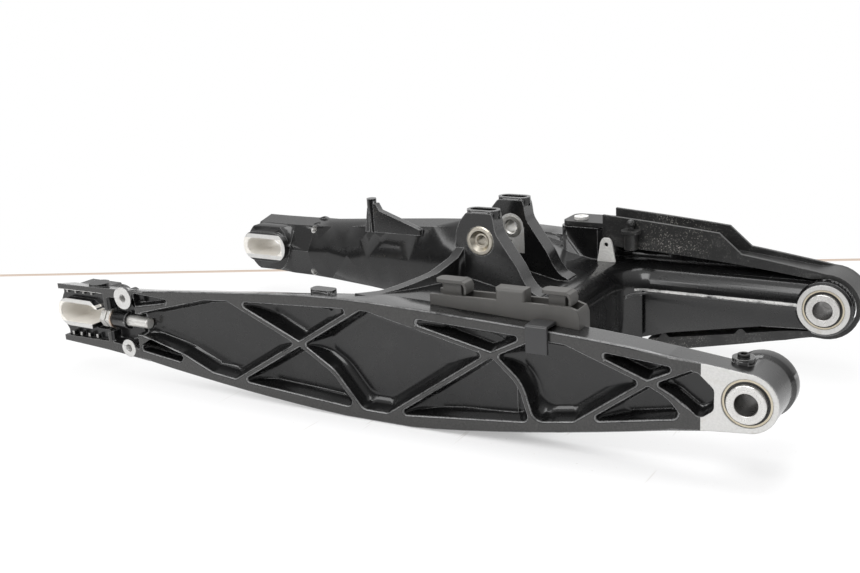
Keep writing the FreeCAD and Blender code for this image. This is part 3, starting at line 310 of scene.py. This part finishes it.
class Finish:
    """A material in the making: object coordinates, noise and the final surface."""

    def __init__(self, name):
        self.material = bpy.data.materials.new(name)
        self.material.use_nodes = True
        self.tree = self.material.node_tree
        self.tree.nodes.clear()
        self.place = self.node("ShaderNodeTexCoord", out=OBJECT_COORDINATES)
        self.x, self.y, self.z = split(self.tree, self.place)

    def node(self, kind, *values, out=0, **named):
        return node(self.tree, kind, {}, *values, out=out, **named)

    def mix(self, factor, a, b):
        return mix(self.tree, factor, a, b)

    def noise(self, scale, detail=3.0, rough=0.55, place=None):
        return self.node("ShaderNodeTexNoise", Vector=place or self.place, Scale=scale, Detail=detail,
                         Roughness=rough)

    def stretched(self, sx, sy, sz):
        return self.node("ShaderNodeMapping", self.place, Scale=(sx, sy, sz))

    def ramp(self, value, low, high):
        """0 at low and 1 at high."""
        return node(self.tree, "ShaderNodeMapRange", {"clamp": True}, value, low, high, 0.0, 1.0)

    def disc(self, x, z, radius):
        """1 inside a round bar along Y."""
        return ((self.x - x) ** 2.0 + (self.z - z) ** 2.0) < radius ** 2

    def within(self, x, y, z):
        """1 inside a box, given by the low and high ends along each axis."""
        return self.x.between(*x) * self.y.between(*y) * self.z.between(*z)

    def rounded(self, radius, samples=4):
        """Normal that is rounded at edges."""
        return node(self.tree, "ShaderNodeBevel", {"samples": samples}, Radius=radius)

    def bend(self, rounded):
        """0 on a flat surface, more where the rounded normal leaves the plain one."""
        plain = self.node("ShaderNodeNewGeometry", out=SHADING_NORMAL)
        same = node(self.tree, "ShaderNodeVectorMath", {"operation": "DOT_PRODUCT"}, rounded, plain,
                    out=DOT_VALUE)
        return 1.0 - same

    def bump(self, height, strength, distance, normal):
        return self.node("ShaderNodeBump", Strength=strength, Distance=distance, Height=height,
                         Normal=normal)

    def surface(self, tint, rough, metal=0.0, normal=None, coat=0.0, coat_rough=0.1, specular=0.5):
        shader = self.tree.nodes.new("ShaderNodeBsdfPrincipled")
        for key, value in (("Base Color", tint), ("Roughness", rough), ("Metallic", metal),
                           ("Normal", normal), ("Coat Weight", coat), ("Coat Roughness", coat_rough),
                           ("Specular IOR Level", specular)):
            if value is not None:
                fill(self.tree, shader.inputs[key], value)
        return self.close(shader.outputs[0])

    def close(self, shader):
        """Ends the material with a shader's output."""
        end = self.tree.nodes.new("ShaderNodeOutputMaterial")
        self.tree.links.new(shader, end.inputs[0])
        return self.material


# ---------------------------------------------------------------- dressing of the CAD nodes
def round_edges(piece, width, chosen=None):
    """Bevels the sharp edges of a piece, or only the chosen ones, which get a finer round."""
    rounding = piece.modifiers.new("edge round", "BEVEL")
    rounding.width = width
    rounding.harden_normals = False
    if chosen is None:
        rounding.segments = 2
        rounding.limit_method = "ANGLE"
        rounding.angle_limit = math.radians(32)
    else:
        weights = piece.data.attributes.new("bevel_weight_edge", "FLOAT", "EDGE")
        for index in chosen:
            weights.data[index].value = 1.0
        rounding.segments = 3
        rounding.limit_method = "WEIGHT"
        rounding.use_clamp_overlap = False
    bpy.ops.object.modifier_apply(modifier=rounding.name)


def dress(name, material, smooth=30.0, bevel=0.0, chooser=None):
    """Stands a merged, rounded and smoothed copy of a CAD node in its place and gives it a material.

    With a chooser only the edges that it names are rounded."""
    bpy.ops.object.select_all(action="DESELECT")
    source = frame["nodes"][name]
    source.select_set(True)
    bpy.context.view_layer.objects.active = source
    body = source["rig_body"]
    bpy.ops.object.duplicate()
    piece = bpy.context.object
    piece.name = name + "_finish"
    del piece["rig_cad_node"]
    bpy.ops.object.mode_set(mode="EDIT")
    bpy.ops.mesh.select_all(action="SELECT")
    bpy.ops.mesh.remove_doubles(threshold=2e-6)
    bpy.ops.mesh.dissolve_limited(angle_limit=math.radians(0.5 if bevel and not chooser else 0.05))
    bpy.ops.object.mode_set(mode="OBJECT")
    if bevel:
        round_edges(piece, bevel, chooser(piece) if chooser else None)
    bpy.ops.object.shade_smooth_by_angle(angle=math.radians(smooth))
    normals = piece.modifiers.new("flat faces stay flat", "WEIGHTED_NORMAL")
    normals.keep_sharp = True
    normals.weight = 75
    bpy.ops.object.modifier_apply(modifier=normals.name)
    piece.data.materials.clear()
    piece.data.materials.append(material)
    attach(piece, body)
    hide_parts(name)
    return piece


# ---------------------------------------------------------------- casting
def lattice_edges(piece):
    """Edges where the flat outer face of an arm breaks away into a bay or round the outline."""
    p = bpy.context.scene.casting_finish
    lean = p.lean()
    mesh = piece.data
    places = [(abs(v.co.y) + v.co.x * lean - p.pivot_half, v.co.x) for v in mesh.vertices]
    sides = {}
    for face in mesh.polygons:
        for key in face.edge_keys:
            sides.setdefault(key, []).append(face.normal)
    chosen = []
    for edge in mesh.edges:
        a, b = (places[v] for v in edge.vertices)
        off_plane = max(abs(a[0]), abs(b[0])) > 3e-5
        if off_plane or min(a[1], b[1]) < LATTICE[0] or max(a[1], b[1]) > LATTICE[1]:
            continue
        normals = sides[edge.key]
        if len(normals) == 2 and normals[0].angle(normals[1], 0.0) > math.radians(25):
            chosen.append(edge.index)
    return chosen


def leg_lip(material):
    """Rounded lip along the step in the inner side of the left leg, selected and active."""
    bpy.ops.object.select_all(action="DESELECT")
    bpy.ops.mesh.primitive_circle_add(vertices=12, radius=LEG_LIP_RADIUS, fill_type="NGON",
                                      location=LEG_LIP[0],
                                      rotation=(0.0, math.radians(90), math.radians(30)))
    lip = bpy.context.object
    bpy.ops.object.transform_apply(location=True, rotation=True, scale=True)
    bpy.ops.object.mode_set(mode="EDIT")
    bpy.ops.mesh.select_all(action="SELECT")
    for a, b in zip(LEG_LIP, LEG_LIP[1:]):
        step = [q - r for q, r in zip(b, a)]
        bpy.ops.mesh.extrude_region_move(TRANSFORM_OT_translate={"value": step})
    bpy.ops.mesh.select_all(action="SELECT")
    bpy.ops.mesh.normals_make_consistent(inside=False)
    bpy.ops.object.mode_set(mode="OBJECT")
    bpy.ops.object.shade_smooth_by_angle(angle=math.radians(50))
    lip.data.materials.append(material)


class OBJECT_OT_casting(bpy.types.Operator):
    """Gloss black coat with rubbed edges, painted highlights along the edges, the leg lip and the axle
    slots, painted sheen on the flat rims, and bare machined faces
    """
    bl_idname = "swingarm.casting"
    bl_label = "Casting"

    def execute(self, context):
        casting = dress("swingarm_casting", self.finish(context.scene.casting_finish), 26.0,
                        context.scene.casting_finish.rib_round, lattice_edges)
        leg_lip(casting.data.materials[0])
        casting.select_set(True)
        context.view_layer.objects.active = casting
        bpy.ops.object.join()
        return {"FINISHED"}

    def finish(self, p):
        f = Finish("gloss black coat")
        side = f.y.size()
        depth = side + f.x * p.lean() - p.pivot_half    # 0 on the arm's outer face, negative within
        flat = split(f.tree, f.node("ShaderNodeNewGeometry", out=TRUE_NORMAL))[1].size() > 0.985
        slot = (f.z.size() < SLOT_HALF) * f.x.between(SLOT_REAR, SLOT_FRONT) * (side > SLOT_SIDE)
        bare = (self.machined_faces(f, p, side, depth, flat) + slot).clamp()

        rounded = f.rounded(p.edge_round, 6)
        grain = f.noise(900.0, 4.0)
        patch = f.noise(55.0, 3.0)
        dust = f.ramp(f.noise(38.0, 6.0, 0.7), 0.55, 0.85)
        turned = f.ramp(f.noise(700.0, 3.0, 0.6, f.stretched(1.0, 0.15, 1.0)), 0.3, 0.7)
        # worn: rubbed edges together with painted highlight lines along the edges
        worn = self.worn_edges(f, rounded, depth, patch, grain)
        coat_tint = f.mix((worn * 0.8).clamp(), p.coat, p.edge_worn)
        # rubbed: top of the leg lip, where a highlight is painted in the machined grey, broken up by noise
        rubbed = f.within(*LIP_PAINTED_HIGHLIGHT)
        worn = (worn + rubbed * f.ramp(f.noise(70.0, 3.0), 0.36, 0.52) * f.ramp(grain, 0.2, 0.5)).clamp()
        coat_tint = f.mix((rubbed * worn * 0.8).clamp(), coat_tint, p.machined)
        # rim: the flat outer faces, lightened below as a painted sheen
        rim = (depth.size() < 0.0012) * flat * (f.x < CHEEK_REAR)
        speck = f.ramp(f.noise(2600.0, 1.0, 0.4), 0.72, 0.80) * f.ramp(patch, 0.55, 0.75)
        # dusty: dust and specks, plus the painted sheen on the rims
        dusty = dust * 0.035 + speck * 0.25 + rim * (0.045 + f.ramp(grain, 0.4, 0.7) * 0.05)
        coat_tint = f.mix(dusty.clamp(), coat_tint, DUST_AND_RIM_SHEEN)

        bare_tint = f.mix(turned, darker(p.machined, 0.86), p.machined)
        # the inside of the axle slots is mixed towards near white, a painted highlight
        bare_tint = f.mix(slot * 0.6, bare_tint, SLOT_PAINTED_HIGHLIGHT)
        bare_tint = f.mix(f.ramp(f.noise(120.0, 5.0, 0.65), 0.56, 0.78) * 0.35, bare_tint, STAIN)

        coat_rough = p.gloss + f.ramp(patch, 0.3, 0.8) * 0.08 + dust * 0.10 + worn * 0.20
        rough = blend(f.tree, bare, coat_rough, 0.34 + turned * 0.10)
        normal = f.bump(f.noise(420.0, 2.0, 0.5), 0.10, 0.0004, rounded)
        bay = (depth < BAY_DEPTH) * (side > BAY_SIDE)
        dulled = (1.0 - f.ramp(f.z, -0.045, 0.030)) * (0.30 + f.ramp(patch, 0.3, 0.7) * 0.12)
        film = 0.95 - bay * dulled
        return f.surface(f.mix(bare, coat_tint, bare_tint), rough, bare * (0.55 - slot * 0.40), normal,
                         (1.0 - bare) * film, coat_rough=0.15, specular=0.12)

    def machined_faces(self, f, p, side, depth, flat):
        """Above 0 on the bare faces, bores and holes, apart from the axle slots."""
        on_face = depth.size() < FACE_SLACK
        cheek = (f.x > CHEEK_REAR) * (1.0 - f.disc(*CHEEK_BITE))
        upper, lower = (f.disc(*boss) for boss in BRACKET_BOSSES)
        pad = (f.x < PAD_FRONT) * (f.z.size() < PAD_HALF) * ((side - PAD_SIDE).size() < 0.0004)
        nose = (f.x > NOSE_REAR) * ((side - p.pivot_half).size() < 0.0004)
        outer = on_face * flat * (cheek + (upper + lower).clamp()).clamp() + (pad + nose).clamp() * flat
        inner_pad = (side < INNER_SIDE) * (f.x < INNER_FRONT) * (f.z.size() < INNER_HALF) * flat
        marks = on_face * (f.x < PAD_FRONT) * f.z.size().between(*SCALE_MARKS)
        upper, lower = (f.disc(x, z, BRACKET_HOLE) for x, z, radius in BRACKET_BOSSES)
        ring = f.disc(0.0, 0.0, BOSS_RING) * (side < BOSS_RING_SIDE)
        leg = f.x.between(EAR[0], EAR_STRIP_FRONT) * f.z.between(EAR_STRIP_FOOT, EAR[1])
        strip = (f.disc(*EAR, EAR_PAD) + leg) * f.y.between(*EAR_FACE)
        bore = f.disc(0.0, 0.0, BORE) * (side > BORE_SIDE)
        return outer + inner_pad + marks + (upper + lower).clamp() + ring + strip + bore

    def worn_edges(self, f, rounded, depth, patch, grain):
        """1 where the coat is rubbed thin at an edge, and where highlight lines are painted along the edges
        and the rounded rims of ribs and flanges.
        """
        edge = f.ramp(f.bend(rounded), 0.015, 0.09)
        # rounding: the rounded edges of ribs and flanges, where a highlight line is painted
        rounding = depth.between(*JUST_BELOW) * (f.x > INNER_FRONT)
        edge = edge * (1.1 - f.within(*STEP_END) * 1.1 - (f.x < TAIL_FRONT) * 0.6)
        return ((edge + rounding * 0.6) * f.ramp(patch, 0.26, 0.50) * f.ramp(grain, 0.26, 0.50)).clamp()


# ---------------------------------------------------------------- steel and rubber
ROUND_Y = (1.0, 0.1, 1.0)      # turning marks round a Y axis
ALONG_X = (0.2, 1.0, 1.0)      # marks along X


def turned_steel(name, tint, rough=0.26, streak=ROUND_Y, stain_tint=(0.32, 0.26, 0.19), stain=0.35,
                 metal=1.0, dark_bore=0.0):
    f = Finish(name)
    line = f.noise(1400.0, 2.0, 0.6, f.stretched(*streak))
    wear = f.noise(160.0, 5.0, 0.65)
    tint = f.mix(f.ramp(line, 0.3, 0.7), darker(tint, 0.82), tint)
    tint = f.mix(f.ramp(wear, 0.55, 0.80) * stain, tint, stain_tint)
    if dark_bore:
        tint = f.mix(f.disc(0.0, 0.0, dark_bore) * 0.85, tint, BORE_SHADE)
    normal = f.bump(line, 0.08, 0.0002, f.rounded(0.0004))
    return f.surface(tint, rough + f.ramp(wear, 0.4, 0.8) * 0.18, metal, normal)


class OBJECT_OT_pivot_bearings(bpy.types.Operator):
    """Turned steel sleeves and collars with black lip seals"""
    bl_idname = "swingarm.pivot_bearings"
    bl_label = "Pivot bearings"

    def execute(self, context):
        p = context.scene.metal_finish
        steel = turned_steel("turned pivot steel", p.sleeve, stain=0.14, metal=0.8, dark_bore=SLEEVE_BORE)
        for hand in HANDS:
            for piece in ("sleeve", "collars", "bearing"):
                dress("%s_pivot_%s" % (hand, piece), steel, 20.0)
        f = Finish("seal rubber")
        tint = f.mix(f.ramp(f.noise(300.0, 4.0), 0.5, 0.8) * 0.3, context.scene.plastic_finish.seal,
                     SEAL_GRIT)
        inner, outer = (f.disc(0.0, 0.0, radius) for radius in SEAL_CASE)
        case = (1.0 - inner) * outer
        rubber = f.surface(f.mix(case, tint, p.brass), 0.38 + f.noise(200.0) * 0.1, case * 0.6)
        for hand in HANDS:
            dress("%s_pivot_seals" % hand, rubber)
        return {"FINISHED"}


class OBJECT_OT_fasteners(bpy.types.Operator):
    """Plated adjuster bolts, nuts, washers, screws and tab"""
    bl_idname = "swingarm.fasteners"
    bl_label = "Fasteners"

    def execute(self, context):
        p = context.scene.metal_finish
        zinc = turned_steel("zinc plated steel", p.zinc, 0.30, ALONG_X, (0.34, 0.28, 0.20), 0.4, 0.55)
        copper = turned_steel("washer with a coppery rim", p.washer, 0.30, ALONG_X, (0.55, 0.25, 0.12), 0.9)
        for hand in HANDS:
            dress("%s_adjuster_bolt" % hand, zinc)
            dress("%s_adjuster_nut" % hand, zinc)
            dress("%s_adjuster_washer" % hand, copper)
        pale = turned_steel("pale zinc", p.pale_zinc, 0.34, ALONG_X, (0.42, 0.38, 0.30), 0.5, 0.15)
        for name in ("slider_screw", "slider_tab"):
            dress(name, pale)
        dress("pivot_plug", turned_steel("black plug", p.plug, 0.4))
        return {"FINISHED"}


class OBJECT_OT_shock_bushes(bpy.types.Operator):
    """Turned bushes in the two ears"""
    bl_idname = "swingarm.shock_bushes"
    bl_label = "Shock absorber bushes"

    def execute(self, context):
        p = context.scene.metal_finish
        dress("shock_threaded_bush",
              turned_steel("turned bush", p.bush, 0.30, ROUND_Y, (0.40, 0.28, 0.16), 0.6), 20.0)
        dress("shock_plain_bush", turned_steel("bare bush", p.plain_bush, 0.32))
        return {"FINISHED"}


# ---------------------------------------------------------------- plastics
class OBJECT_OT_chain_slider(bpy.types.Operator):
    """Dull black moulding, scuffed and dusty from the chain"""
    bl_idname = "swingarm.chain_slider"
    bl_label = "Chain slider"

    def execute(self, context):
        p = context.scene.plastic_finish
        f = Finish("worn slider plastic")
        rounded = f.rounded(0.0008)
        edge = f.ramp(f.bend(rounded), 0.03, 0.2)
        patch = f.noise(42.0, 5.0, 0.65)
        fine = f.noise(520.0, 6.0, 0.7)
        scrape = f.noise(300.0, 4.0, 0.6, f.stretched(0.12, 1.0, 1.0))
        dust = f.ramp(patch, 0.48, 0.75) * f.ramp(fine, 0.42, 0.70)
        worn = dust * 0.35 + edge * f.ramp(fine, 0.4, 0.6) * 0.5 + f.ramp(scrape, 0.60, 0.80) * 0.25
        worn = worn.clamp()
        scuffed = f.ramp(f.x, *SCUFFED[:2]) * (1.0 - f.ramp(f.x, *SCUFFED[2:])) * 0.85 + 0.15
        specks = f.ramp(f.noise(1100.0, 1.0, 0.5), 0.62, 0.70) * f.ramp(patch, 0.36, 0.56) * scuffed
        tint = f.mix(worn, p.slider, p.scuff)
        tint = f.mix(specks * 0.75, tint, CHAIN_SPECKS)
        normal = f.bump(fine, 0.25, 0.0004, rounded)
        dress("chain_slider", f.surface(tint, 0.40 + worn * 0.3, 0.0, normal), 28.0, 0.0006)
        dress("slider_push_pin", f.surface(tint, 0.46 + worn * 0.3, 0.0, normal))
        return {"FINISHED"}


class OBJECT_OT_hose_guide(bpy.types.Operator):
    """Dark grey hose guide and its clip"""
    bl_idname = "swingarm.hose_guide"
    bl_label = "Hose guide"

    def execute(self, context):
        p = context.scene.plastic_finish
        f = Finish("dark grey guide plastic")
        patch = f.noise(60.0, 4.0, 0.6)
        tint = f.mix(f.ramp(patch, 0.35, 0.75) * 0.35, p.guide, GUIDE_RUBBED)
        normal = f.bump(f.noise(1500.0, 3.0, 0.6), 0.25, 0.00025, f.rounded(0.0009))
        dress("hose_guide", f.surface(tint, 0.42 + f.ramp(patch, 0.3, 0.8) * 0.14, 0.0, normal), 35.0,
              0.0007)
        f = Finish("black clip plastic")
        normal = f.bump(f.noise(700.0), 0.1, 0.0003, f.rounded(0.0009))
        dress("edge_clip", f.surface(p.clip, 0.25 + f.noise(90.0) * 0.1, 0.0, normal), 35.0, 0.0006)
        return {"FINISHED"}


# ---------------------------------------------------------------- stage
class SCENE_OT_stage(bpy.types.Operator):
    """White table, soft studio light and the camera"""
    bl_idname = "swingarm.stage"
    bl_label = "Stage"

    def execute(self, context):
        scene = context.scene
        p = scene.stage_look
        self.table(p)
        self.world(scene)
        self.lamp("overhead", p.key, (-0.25, 0.35, 1.35), (-0.2, 0.0, 0.0), 0.9)
        self.lamp("left of camera", p.fill, (-1.05, -1.30, 0.80), (-0.25, 0.0, 0.0), 0.75)
        self.lamp("above camera", p.fill, (-0.15, -0.95, 1.20), (-0.2, 0.0, 0.0), 0.75)
        self.camera(scene, p)
        scene.view_settings.view_transform = "Standard"
        return {"FINISHED"}

    def table(self, p):
        bpy.ops.mesh.primitive_plane_add(size=1.0, location=(0.0, 0.0, 0.0))
        table = bpy.context.object
        table.name = "table"
        table.scale = (TABLE_SPAN, TABLE_SPAN, 1.0)
        table.location = (TABLE_MIDDLE_X, 0.0, CAD_BOX[0][2] - TABLE_GAP)
        bpy.ops.object.transform_apply(location=True, rotation=True, scale=True)
        table.data.materials.append(self.table_top(p))

    def table_top(self, p):
        """White that the camera sees as light, apart from the part's shadow, a faint painted shade under the
        part and some scratches.
        """
        f = Finish("white table")
        away = f.y * AWAY[1] + f.x * AWAY[0]
        grime = f.ramp(f.noise(9.0, 5.0, 0.7), 0.5, 0.8) * f.ramp(f.noise(140.0, 3.0, 0.6), 0.62, 0.72)
        apart = (f.x - SHADE_CENTRE[0]) ** 2.0 * 0.6 + (f.y - SHADE_CENTRE[1]) ** 2.0
        near = 1.0 - f.ramp(apart, 0.010, 0.085)
        scratch = f.ramp(f.noise(26.0, 2.0, 0.6, f.stretched(5.0, 0.35, 1.0)), 0.69, 0.72)
        scratch = scratch + f.ramp(f.noise(21.0, 2.0, 0.6, f.stretched(0.4, 6.0, 1.0)), 0.70, 0.73)
        grit = f.ramp(f.noise(520.0, 1.0, 0.4), 0.74, 0.78) * f.ramp(f.noise(30.0), 0.5, 0.6)
        dirt = (grime * 0.12 + near * (scratch * 0.30 + grit * 0.6)).clamp()
        lit = f.node("ShaderNodeBsdfDiffuse", f.mix(dirt, p.table, TABLE_DIRT_AND_SHADE))
        glow = f.mix(away.between(*SEAM) * 0.9, (1.0, 1.0, 1.0), p.seam)
        # near the part the glow takes real scratches and grit, and a faint darker, warmer tint that is
        # painted shade
        glow = f.mix((near * (scratch * 0.16 + grit * 0.45 + 0.02)).clamp(), glow, TABLE_DIRT_AND_SHADE)
        light = f.node("ShaderNodeEmission", glow, 1.0)
        seen = f.node("ShaderNodeLightPath", out=IS_CAMERA_RAY)
        shine = f.node("ShaderNodeLightPath", out=IS_GLOSSY_RAY)
        lift = ((seen + shine) * ((away > BEYOND) * 0.14 + 0.86 - near * 0.46)).clamp()
        return f.close(f.node("ShaderNodeMixShader", lift, lit, light).socket)

    def world(self, scene):
        """White for the camera; for the part, bright overhead and behind, dim in front."""
        scene.world = scene.world or bpy.data.worlds.new("studio")
        scene.world.use_nodes = True
        t = scene.world.node_tree
        t.nodes.clear()
        ahead, up = split(t, node(t, "ShaderNodeTexCoord", {}, out=GENERATED_DIRECTION))[1:]
        wall = ((ahead - 0.42) * 2.0).clamp()
        level = (wall * 0.62 + (up * 1.2 - 0.25).clamp() * 0.85).clamp()
        seen = node(t, "ShaderNodeLightPath", {}, out=IS_CAMERA_RAY)
        strength = blend(t, seen, level * 1.15 + 0.12, 1.0)
        light = node(t, "ShaderNodeBackground", {}, (1.0, 1.0, 1.0), strength)
        end = t.nodes.new("ShaderNodeOutputWorld")
        t.links.new(light.socket, end.inputs[0])

    def lamp(self, name, power, place, target, size):
        bpy.ops.object.light_add(type="AREA", location=place)
        lamp = bpy.context.object
        lamp.name = name
        lamp.data.energy = power
        lamp.data.size = size
        aim = Vector(target) - Vector(place)
        lamp.rotation_euler = aim.to_track_quat("-Z", "Y").to_euler()

    def camera(self, scene, p):
        bpy.ops.object.camera_add(location=p.eye)
        camera = bpy.context.object
        camera.name = "photo view"
        camera.data.sensor_width = 36.0
        camera.data.lens = p.lens
        camera.data.clip_start = 0.01
        turn = Matrix((CAMERA_RIGHT, -CAMERA_DOWN, -CAMERA_AHEAD)).transposed().to_4x4()
        camera.matrix_world = Matrix.Translation(Vector(p.eye)) @ turn
        scene.camera = camera


# ---------------------------------------------------------------- panel and start
STEPS = (OBJECT_OT_casting, OBJECT_OT_pivot_bearings, OBJECT_OT_fasteners, OBJECT_OT_shock_bushes,
         OBJECT_OT_chain_slider, OBJECT_OT_hose_guide, SCENE_OT_stage)
GROUPS = (("casting_finish", CastingFinish), ("metal_finish", MetalFinish),
          ("plastic_finish", PlasticFinish), ("stage_look", StageLook))


class VIEW3D_PT_swingarm(bpy.types.Panel):
    bl_label = "Swingarm"
    bl_space_type = "VIEW_3D"
    bl_region_type = "UI"
    bl_category = "Swingarm"

    def draw(self, context):
        for name, group in GROUPS:
            held = getattr(context.scene, name)
            for key in group.__annotations__:
                self.layout.prop(held, key)
        for step in STEPS:
            self.layout.operator(step.bl_idname)


def register():
    for name, group in GROUPS:
        bpy.utils.register_class(group)
        setattr(bpy.types.Scene, name, PointerProperty(type=group))
    for step in STEPS + (VIEW3D_PT_swingarm,):
        bpy.utils.register_class(step)


def unregister():
    for step in (VIEW3D_PT_swingarm,) + STEPS[::-1]:
        bpy.utils.unregister_class(step)
    for name, group in GROUPS[::-1]:
        delattr(bpy.types.Scene, name)
        bpy.utils.unregister_class(group)


def main():
    register()
    bpy.ops.object.select_all(action="DESELECT")
    for step in STEPS:
        family, name = step.bl_idname.split(".")
        getattr(getattr(bpy.ops, family), name)()


if __name__ == "__main__":
    main()
